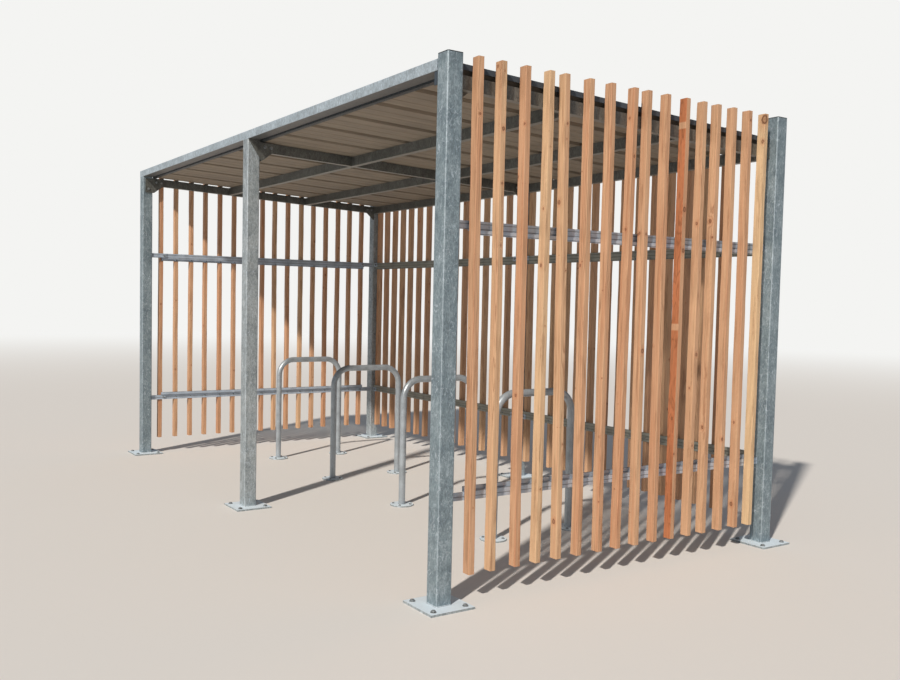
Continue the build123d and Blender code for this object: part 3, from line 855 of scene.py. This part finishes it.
def hoop_rule():
    """Tree: a tube bent along the line through its points."""
    tree, add, entry = rule("Bent tube", ("Tube", "Bend"))
    path = add("GeometryNodeMeshToCurve", {"Mesh": entry["Points"]})
    path = {"Curve": path, "Radius": entry["Bend"], "Count": 20}
    path = add("GeometryNodeFilletCurve", path, mode="POLY")
    half = add(MATH, (entry["Tube"], 0.5), operation="MULTIPLY")
    section = add("GeometryNodeCurvePrimitiveCircle", {"Resolution": 32, "Radius": half})
    tube = {"Curve": path, "Profile Curve": section, "Fill Caps": True}
    return close(tree, entry, add("GeometryNodeCurveToMesh", tube))


class SHELTER_OT_hoops(bpy.types.Operator):
    """Bends the four parking hoops from round tube"""

    bl_idname = "shelter.hoops"
    bl_label = "Parking Hoops"

    def execute(self, context):
        sizes = context.scene.shelter_sizes
        half = sizes.hoop_tube / 2
        tree = hoop_rule()
        for node in HOOPS:
            low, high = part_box(node)
            x = (low.x + high.x) / 2
            front, back, crown = low.y + half, high.y - half, high.z - half
            line = [(x, front, low.z), (x, front, crown), (x, back, crown), (x, back, low.z)]
            mesh = dots(node, line, [(0, 1), (1, 2), (2, 3)])
            bent = {"tube": sizes.hoop_tube, "bend": sizes.hoop_bend}
            grow(f"{node}_tube", tree, mesh, "tube", "hoop_steel", (node,), **bent)
        return {"FINISHED"}


# Fasteners

FASTENER_SIZES = ("Washer", "Washer thickness", "Across flats", "Head height", "Stud", "Stud end")
# A hexagon's size across its corners, over its size across its flats
HEX = 2 / math.sqrt(3)
# Layers of a fastener from its seat up: corners, size across and its share, height and its
# share, taper
FASTENER_LAYERS = (
    (20, "Washer", 1.0, "Washer thickness", 1.0, 0.97),
    (6, "Across flats", HEX, "Head height", 0.82, 1.0),
    (6, "Across flats", HEX, "Head height", 0.18, 0.86),
    (12, "Stud", 1.0, "Stud end", 1.0, 0.94),
)


def fastener_rule():
    """Tree: a washer, a chamfered hexagon and a stud's end on each point, square to its face."""
    tree, add, entry = rule("Hexagon fasteners", FASTENER_SIZES)
    foot = 0.0
    layers = []
    for corners, across, share, tall, part, taper in FASTENER_LAYERS:
        disc = {"Vertices": corners, "Radius Top": 0.5 * taper, "Radius Bottom": 0.5, "Depth": 1.0}
        disc = add("GeometryNodeMeshCone", disc)
        wide = add(MATH, (entry[across], share), operation="MULTIPLY")
        high = add(MATH, (entry[tall], part), operation="MULTIPLY")
        disc = {
            "Geometry": disc,
            "Translation": add(COMBINE, {"Z": foot}),
            "Scale": add(COMBINE, (wide, wide, high)),
        }
        layers.append(add("GeometryNodeTransform", disc))
        foot = add(MATH, (foot, high), operation="ADD")
    whole = add("GeometryNodeJoinGeometry", {"Geometry": layers})
    whole = add("GeometryNodeSetShadeSmooth", {"Geometry": whole, "Shade Smooth": False})
    facing = add("GeometryNodeInputNamedAttribute", {"Name": "facing"}, data_type="FLOAT_VECTOR")
    square = add("FunctionNodeAlignRotationToVector", {"Vector": facing}, axis="Z")
    spin = {"Min": 0.0, "Max": math.tau, "Seed": 4}
    spin = add("FunctionNodeRandomValue", spin, "Value", data_type="FLOAT")
    spin = add("FunctionNodeAxisAngleToRotation", {"Axis": (0, 0, 1), "Angle": spin})
    turned = {"Rotation": square, "Rotate By": spin}
    turned = add("FunctionNodeRotateRotation", turned, rotation_space="LOCAL")
    set_out = {"Points": entry["Points"], "Instance": whole, "Rotation": turned}
    return close(tree, entry, add("GeometryNodeInstanceOnPoints", set_out))


def fasten(name, tree, spots, sizes, slot, kind="bolt"):
    """Sets one fastener at each spot, given as its place and the way it faces."""
    places, ways = zip(*[(tuple(place), tuple(way)) for place, way in spots])
    mesh = dots(name, places, facing=ways)
    named = {key(label): size for label, size in zip(FASTENER_SIZES, sizes)}
    return grow(name, tree, mesh, kind, slot, **named)


POSTS = [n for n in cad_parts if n.startswith("post_") and n != "post_caps"]
UP = (0.0, 0.0, 1.0)
# From the middle of a post to its plate's bolts on each axis, and of a hoop's foot to its bolts
ANCHOR_REACH = 82.5 * MM
FLANGE_REACH = 56 * MM


def post_feet():
    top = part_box("base_plates")[1].z
    for post in POSTS:
        low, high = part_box(post)
        middle = (low + high) / 2
        yield Vector((middle.x, middle.y, top))


def plate_spots():
    for foot in post_feet():
        for sx in (-1, 1):
            for sy in (-1, 1):
                yield (foot.x + sx * ANCHOR_REACH, foot.y + sy * ANCHOR_REACH, foot.z), UP


def hoop_feet():
    half = bpy.context.scene.shelter_sizes.hoop_tube / 2
    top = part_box("hoop_flanges")[1].z
    for node in HOOPS:
        low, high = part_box(node)
        for y in (low.y + half, high.y - half):
            yield Vector(((low.x + high.x) / 2, y, top))


def flange_spots():
    for foot in hoop_feet():
        for quarter in range(4):
            angle = math.pi / 4 + quarter * math.pi / 2
            yield foot + Vector((math.cos(angle), math.sin(angle), 0)) * FLANGE_REACH, UP


class SHELTER_OT_anchors(bpy.types.Operator):
    """Sets the ground anchors' nuts and washers on the base plates and the hoops' flanges"""

    bl_idname = "shelter.anchors"
    bl_label = "Ground Anchors"

    def execute(self, context):
        sizes = context.scene.shelter_sizes
        tree = fastener_rule()
        for name, spots, size, slot in (
            ("base_plate_anchors", plate_spots(), sizes.plate_anchor, "galvanised_steel"),
            ("hoop_flange_anchors", flange_spots(), sizes.flange_anchor, "hoop_steel"),
        ):
            fasten(name, tree, spots, size, slot)
        return {"FINISHED"}


# Inner faces of the corner posts, and of the battens
INNER_X, INNER_Y = 2.15, 1.045
WALL_X, WALL_Y = 2.185, 1.08
# The roof sheets lie on a plane that falls to the back from this height
BEARING = 2.272
FALL = 0.04


def bearing(y):
    """Height of the plane that the roof sheets lie on, in metres."""
    return BEARING - FALL * (y + INNER_Y)


KNEE_PLATE = 0.006
# Outer face of the plate at the middle knee
LAP_FACE = 0.0862
# Faces that the knee bolts stand on, and the way they look. The middle member's outer plate is at
# the front only: its two back bolts stand 23 mm off the plate behind them.
KNEE_SIDES = ((INNER_X - KNEE_PLATE, -1.0), (-INNER_X + KNEE_PLATE, 1.0), (LAP_FACE, 1.0))
# Bolts into a member: from the post along it, and down from the bearing plane
MEMBER_BOLTS = (0.03, 0.072)
MEMBER_DROP = 0.032
# The bolt into a post: from its inner face, and down
POST_BOLT, POST_DROP = 0.035, 0.09


def knee_spots():
    """Two bolts through each knee plate into its member, and one into a front corner post."""
    for x, way in KNEE_SIDES:
        for end in (-1, 1):
            for along in MEMBER_BOLTS:
                y = end * (INNER_Y - along)
                yield (x, y, bearing(y) - MEMBER_DROP), (way, 0.0, 0.0)
            if end < 0 and x != LAP_FACE:
                place = (x, -INNER_Y - POST_BOLT, bearing(-INNER_Y) - POST_DROP)
                yield place, (way, 0.0, 0.0)


# Clear bays between the back posts
BAYS = ((-INNER_X, 0.0), (0.08, INNER_X))
# Middle of each level of tabs, and how far its face is from the battens
TAB_LEVELS = ((0.464, 0.009), (1.644, 0.021))
# From the post to the bolt, in the middle of the lap of tab and rail
END_TAB_BOLT, BACK_TAB_BOLT = 0.104, 0.03


def tab_spots():
    for z, inward in TAB_LEVELS:
        for side in (-1, 1):
            for end in (-1, 1):
                y = end * (INNER_Y - END_TAB_BOLT)
                yield (side * (WALL_X - inward), y, z), (-side, 0.0, 0.0)
        for low, high in BAYS:
            for x in (low + BACK_TAB_BOLT, high - BACK_TAB_BOLT):
                yield (x, WALL_Y - inward, z), (0.0, -1.0, 0.0)


# Height of each rail's screws, and whether the tabs cover its ends there
RAIL_SCREWS = ((0.466, True), (1.612, False))
RAIL_STEEL = 0.003


def rail_screw_spots():
    """A screw through the rail into each batten, except where a tab covers the lower rail."""
    for _, node, end_wall, shifts, leans, _ in WALLS:
        low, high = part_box(node)
        side = math.copysign(1.0, low.x)
        feet = stands(node, end_wall, shifts)
        for z, tab_covers in RAIL_SCREWS:
            share = (z - low.z) / (high.z - low.z)
            for number, (foot, lean) in enumerate(zip(feet, leans)):
                if tab_covers and number in (0, STICKS - 1):
                    continue
                along = foot + lean * share * MM
                if end_wall:
                    yield (side * (WALL_X - RAIL_STEEL), along, z), (-side, 0.0, 0.0)
                else:
                    yield (along, WALL_Y - RAIL_STEEL, z), (0.0, -1.0, 0.0)


class SHELTER_OT_frame_bolts(bpy.types.Operator):
    """Bolts the knee plates and tabs, and screws the rails to the battens"""

    bl_idname = "shelter.frame_bolts"
    bl_label = "Frame Bolts"

    def execute(self, context):
        sizes = context.scene.shelter_sizes
        tree = fastener_rule()
        for name, spots, size in (
            ("knee_bolts", knee_spots(), sizes.knee_bolt),
            ("tab_bolts", tab_spots(), sizes.tab_bolt),
            ("rail_screws", rail_screw_spots(), sizes.rail_screw),
        ):
            fasten(name, tree, spots, size, "galvanised_steel")
        return {"FINISHED"}


# Middle of the first pan of the roof, the next ones' distance and their number
PAN_FIRST, PAN_PITCH, PANS = -1.946, 0.36, 12
# Middle lines of the two purlins and the back beam
SUPPORT_Y = (-0.375, 0.35, 1.0625)
# Where the screws of each verge flashing stand across its foot, and along it
FLASHING_FEET = (2.1315, -2.0635)
FLASHING_FIRST, FLASHING_PITCH, FLASHING_SCREWS = -0.95, 0.37, 6
# Tops of the sheet and of the flashing's foot, above the bearing plane
SHEET_TOP, FLASHING_TOP = 0.001, 0.0025


def roof_spots():
    """Screws in each pan over each support, and down the feet of the verge flashings."""
    tilt = Vector((0.0, FALL, 1.0)).normalized()
    for y in SUPPORT_Y:
        for pan in range(PANS):
            yield (PAN_FIRST + pan * PAN_PITCH, y, bearing(y) + SHEET_TOP), tilt
    for x in FLASHING_FEET:
        for step in range(FLASHING_SCREWS):
            y = FLASHING_FIRST + step * FLASHING_PITCH
            yield (x, y, bearing(y) + FLASHING_TOP), tilt


class SHELTER_OT_roof_screws(bpy.types.Operator):
    """Screws the roof sheets to the purlins and the flashings to the sheets"""

    bl_idname = "shelter.roof_screws"
    bl_label = "Roof Screws"

    def execute(self, context):
        size = context.scene.shelter_sizes.roof_screw
        fasten("roof_screws", fastener_rule(), roof_spots(), size, "coated_sheet", "coat")
        return {"FINISHED"}


# Welds

POST_CORNER = 0.008


def weld_rule(name, square):
    """Tree: a rippled bead round a foot, square with rounded corners or round."""
    tree, add, entry = rule(name, ("Across", "Corner", "Bead"))
    if square:
        path = {"Width": entry["Across"], "Height": entry["Across"]}
        path = add("GeometryNodeCurvePrimitiveQuadrilateral", path)
        path = {"Curve": path, "Radius": entry["Corner"], "Count": 3}
        path = add("GeometryNodeFilletCurve", path, mode="POLY")
    else:
        half = add(MATH, (entry["Across"], 0.5), operation="MULTIPLY")
        path = add("GeometryNodeCurvePrimitiveCircle", {"Resolution": 40, "Radius": half})
    path = add("GeometryNodeResampleCurve", {"Curve": path, "Count": 96})
    half = add(MATH, (entry["Bead"], 0.5), operation="MULTIPLY")
    section = add("GeometryNodeCurvePrimitiveCircle", {"Resolution": 8, "Radius": half})
    bead = add("GeometryNodeCurveToMesh", {"Curve": path, "Profile Curve": section})
    # Ripples of 6 mm push the bead about by up to a quarter of its thickness or so
    ripple = add(NOISE, {"Scale": 1 / 0.006, "Detail": 2.0}, "Color", noise_dimensions="3D")
    ripple = add(VECTOR, (ripple, (0.5, 0.5, 0.5)), operation="SUBTRACT")
    swing = add(MATH, (entry["Bead"], 0.55), operation="MULTIPLY")
    ripple = add(VECTOR, {0: ripple, "Scale": swing}, operation="SCALE")
    bead = add("GeometryNodeSetPosition", {"Geometry": bead, "Offset": ripple})
    laid = {"Points": entry["Points"], "Instance": bead}
    return close(tree, entry, add("GeometryNodeInstanceOnPoints", laid))


class SHELTER_OT_welds(bpy.types.Operator):
    """Lays the weld beads at the feet of the posts and the hoops"""

    bl_idname = "shelter.welds"
    bl_label = "Welds"

    def execute(self, context):
        sizes = context.scene.shelter_sizes
        low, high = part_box(POSTS[0])
        grow(
            "post_foot_welds",
            weld_rule("Square foot weld", True),
            dots("post_foot_welds", [tuple(foot) for foot in post_feet()]),
            "dipped",
            "galvanised_steel",
            across=high.x - low.x,
            corner=POST_CORNER,
            bead=sizes.weld_leg,
        )
        grow(
            "hoop_foot_welds",
            weld_rule("Round foot weld", False),
            dots("hoop_foot_welds", [tuple(foot) for foot in hoop_feet()]),
            "tube",
            "hoop_steel",
            across=sizes.hoop_tube,
            bead=sizes.hoop_weld_leg,
        )
        return {"FINISHED"}


# Small plates cut from sheet

# Plates stop 0.3 mm short of the front beam's underside
BEAM_FOOT = 2.2797
# Outer plate of the middle knee: it laps the post with one sloping edge. y and z of its outline
LAP_OUTLINE = (
    (-1.124, BEAM_FOOT),
    (-1.046, BEAM_FOOT),
    (-1.046, 2.266),
    (-0.95, 2.262),
    (-0.95, 2.219),
    (-1.033, 2.153),
    (-1.037, 2.153),
)
LAP_X = (0.0802, LAP_FACE)
# Packing between that plate and the knee plate behind it
PACK_OUTLINE = ((-1.03, 2.255), (-0.965, 2.253), (-0.965, 2.228), (-1.03, 2.228))
PACK_X = (0.0636, 0.0802)
# Slate-coated angle under the right end of the front beam: x and y of its outline
ANGLE_OUTLINE = (
    (2.1438, -1.121),
    (2.1438, -1.082),
    (2.1408, -1.082),
    (2.1408, -1.118),
    (2.124, -1.118),
    (2.124, -1.121),
)
ANGLE_FOOT = 2.2215
BROKEN_EDGE = 0.6 * MM


def cut_plates(name, shapes, slot, kind):
    """Plates with broken edges: each is a row of corners and the thrust that gives it thickness."""
    work = bmesh.new()
    for outline, thrust in shapes:
        flat = work.faces.new([work.verts.new(corner) for corner in outline])
        grown = bmesh.ops.extrude_face_region(work, geom=[flat])["geom"]
        moved = [item for item in grown if isinstance(item, bmesh.types.BMVert)]
        bmesh.ops.translate(work, verts=moved, vec=thrust)
    bmesh.ops.bevel(
        work, geom=work.edges[:], offset=BROKEN_EDGE, segments=2, profile=0.5, affect="EDGES"
    )
    bmesh.ops.recalc_face_normals(work, faces=work.faces)
    mesh = bpy.data.meshes.new(name)
    work.to_mesh(mesh)
    work.free()
    mesh.materials.append(finish(kind))
    piece = bpy.data.objects.new(name, mesh)
    bpy.context.scene.collection.objects.link(piece)
    return settle(piece, slot)


class SHELTER_OT_plates(bpy.types.Operator):
    """Cuts the outer plate of the middle knee and the angle under the front beam's right end"""

    bl_idname = "shelter.plates"
    bl_label = "Plates"

    def execute(self, context):
        knee = [
            ([(near, y, z) for y, z in outline], (far - near, 0, 0))
            for outline, (near, far) in ((LAP_OUTLINE, LAP_X), (PACK_OUTLINE, PACK_X))
        ]
        # The middle knee's outer plate takes the zinc painted darker as shade under the roof
        cut_plates("knee_outer_plate", knee, "galvanised_steel", "inner")
        angle = ([(x, y, ANGLE_FOOT) for x, y in ANGLE_OUTLINE], (0, 0, BEAM_FOOT - ANGLE_FOOT))
        cut_plates("beam_end_angle", [angle], "coated_sheet", "trim")
        return {"FINISHED"}


# Finishes of the frame's own nodes: the first row that fits a name's start holds
NODE_FINISH = (
    ("post_caps", "cap"),
    ("post_front_right", "dull"),
    ("post_back_right", "dull"),
    ("post_front_left", "dull"),
    ("post_", "dipped"),
    ("base_plates", "dipped"),
    ("front_beam", "beam"),
    # The steel under the roof takes a copy of the zinc painted darker: painted shade
    ("end_beam", "inner"),
    ("cross_beam", "inner"),
    ("purlin", "inner"),
    ("back_beam", "inner"),
    ("knee", "inner"),
    # The angle at the roof's front edge is painted dark as the shade under the front beam
    ("roof_edge", "cap"),
    # The back wall's rails take the copy of the rail zinc painted darker as shade
    ("rail_back", "strip_shade"),
    ("rail_", "strip"),
    ("roof_sheet", "coat"),
    ("verge", "trim"),
    ("battens", "larch"),
    ("hoop_flanges", "dipped"),
    ("hoop_", "tube"),
)


class SHELTER_OT_finishes(bpy.types.Operator):
    """Gives the steel and roof of the frame their finishes"""

    bl_idname = "shelter.finishes"
    bl_label = "Frame Finishes"

    def execute(self, context):
        for name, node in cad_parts.items():
            kind = next(kind for start, kind in NODE_FINISH if name.startswith(start))
            if not node.material_slots:
                node.data.materials.append(None)
            for holder in node.material_slots:
                holder.material = finish(kind)
        return {"FINISHED"}


# Stage

# Where the photograph was taken from, in metres and radians
EYE = Vector((5.385469, -3.271409, 1.311985))
YAW, PITCH, ROLL = 0.9952, -0.05448, 0.02055
LENS, SENSOR = 36.464, 36.0
LENS_SHIFT = (0.0312, 0.0120)
CLIP_END = 200.0
FLOOR_REACH = 150.0
# Distances over which the floor runs into the backdrop
FLOOR_FADE = (6.0, 27.0)
SKY_COLOUR = linear("#E2ECFA")
SKY_STRENGTH = 0.25
SUN_FROM = (0.395, -0.677, 0.62)
SUN_STRENGTH = 3.65
SUN_SPREAD = math.radians(2)
SUN_COLOUR = linear("#FFF5E9")


def lay_floor(scene, backdrop):
    """A pale floor that runs into the backdrop, so that no horizon line shows."""
    mesh = bpy.data.meshes.new("floor")
    square = ((-1, -1), (1, -1), (1, 1), (-1, 1))
    corners = [(x * FLOOR_REACH, y * FLOOR_REACH, 0) for x, y in square]
    mesh.from_pydata(corners, [], [(0, 1, 2, 3)])
    floor = bpy.data.objects.new("floor", mesh)
    scene.collection.objects.link(floor)
    material, add = surface("studio_floor")
    pale = {"Base Color": tuple(scene.shelter_colours.floor), "Roughness": 0.9}
    pale = add("ShaderNodeBsdfPrincipled", pale)
    away = add("ShaderNodeTexCoord", out="Object")
    away = add(VECTOR, (away,), "Value", operation="LENGTH")
    away = add(RANGE, (away, *FLOOR_FADE), interpolation_type="SMOOTHSTEP")
    glow = add("ShaderNodeEmission", {"Color": backdrop, "Strength": 1.0})
    both = add("ShaderNodeMixShader", (away, pale, glow))
    add("ShaderNodeOutputMaterial", {"Surface": both}, None)
    mesh.materials.append(material)


def light_sky(scene, backdrop):
    """Soft light from all round. The camera sees the backdrop instead."""
    world = bpy.data.worlds.new("studio")
    world.use_nodes = True
    world.node_tree.nodes.clear()
    add = partial(put, world.node_tree)
    rays = add("ShaderNodeLightPath", out=None)
    seen = (rays["Is Camera Ray"], rays["Is Transmission Ray"])
    seen = add(MATH, seen, operation="MAXIMUM")
    soft = add("ShaderNodeBackground", {"Color": SKY_COLOUR, "Strength": SKY_STRENGTH})
    white = add("ShaderNodeBackground", {"Color": backdrop, "Strength": 1.0})
    both = add("ShaderNodeMixShader", (seen, soft, white))
    add("ShaderNodeOutputWorld", {"Surface": both}, None)
    scene.world = world


def hang_sun(scene):
    """A sun from the front and the right, whose shadows have slightly soft edges."""
    lamp = bpy.data.lights.new("soft_sun", "SUN")
    lamp.energy = SUN_STRENGTH
    lamp.angle = SUN_SPREAD
    lamp.color = SUN_COLOUR[:3]
    sun = bpy.data.objects.new("soft_sun", lamp)
    sun.rotation_mode = "QUATERNION"
    sun.rotation_quaternion = Vector(SUN_FROM).to_track_quat("Z", "Y")
    scene.collection.objects.link(sun)


def set_camera(scene):
    """The camera, looking as the photograph does."""
    level = Vector((math.cos(YAW), math.sin(YAW), 0.0))
    ahead = Vector((-math.sin(YAW), math.cos(YAW), 0.0)) * math.cos(PITCH)
    ahead.z = math.sin(PITCH)
    over = level.cross(ahead)
    right = level * math.cos(ROLL) + over * math.sin(ROLL)
    upward = over * math.cos(ROLL) - level * math.sin(ROLL)
    lens = bpy.data.cameras.new("camera")
    lens.sensor_width = SENSOR
    lens.lens = LENS
    lens.shift_x, lens.shift_y = LENS_SHIFT
    lens.clip_end = CLIP_END
    camera = bpy.data.objects.new("camera", lens)
    turn = Matrix((right, upward, -ahead)).transposed().to_4x4()
    camera.matrix_world = Matrix.Translation(EYE) @ turn
    scene.collection.objects.link(camera)
    scene.camera = camera


class SHELTER_OT_stage(bpy.types.Operator):
    """Sets the pale floor, the soft light and the camera"""

    bl_idname = "shelter.stage"
    bl_label = "Stage"

    def execute(self, context):
        scene = context.scene
        scene.view_settings.view_transform = "Standard"
        backdrop = tuple(scene.shelter_colours.background)
        lay_floor(scene, backdrop)
        light_sky(scene, backdrop)
        hang_sun(scene)
        set_camera(scene)
        return {"FINISHED"}


OPERATORS = (
    SHELTER_OT_stage,
    SHELTER_OT_finishes,
    SHELTER_OT_battens,
    SHELTER_OT_hoops,
    SHELTER_OT_anchors,
    SHELTER_OT_frame_bolts,
    SHELTER_OT_roof_screws,
    SHELTER_OT_welds,
    SHELTER_OT_plates,
)


class SHELTER_PT_panel(bpy.types.Panel):
    """Lists the shelter's sizes, colours and pieces"""

    bl_idname = "SHELTER_PT_panel"
    bl_label = "Bicycle Shelter"
    bl_space_type = "VIEW_3D"
    bl_region_type = "UI"
    bl_category = "Shelter"

    def draw(self, context):
        for group in (context.scene.shelter_sizes, context.scene.shelter_colours):
            column = self.layout.column()
            for name in group.__annotations__:
                column.prop(group, name)
        for operator in OPERATORS:
            self.layout.operator(operator.bl_idname)


CLASSES = (ShelterSizes, ShelterColours, *OPERATORS, SHELTER_PT_panel)


def register():
    for cls in CLASSES:
        bpy.utils.register_class(cls)
    bpy.types.Scene.shelter_sizes = bpy.props.PointerProperty(type=ShelterSizes)
    bpy.types.Scene.shelter_colours = bpy.props.PointerProperty(type=ShelterColours)


def unregister():
    del bpy.types.Scene.shelter_colours
    del bpy.types.Scene.shelter_sizes
    for cls in reversed(CLASSES):
        bpy.utils.unregister_class(cls)


def main():
    register()
    for operator in OPERATORS:
        group, name = operator.bl_idname.split(".")
        getattr(getattr(bpy.ops, group), name)()


if __name__ == "__main__":
    main()
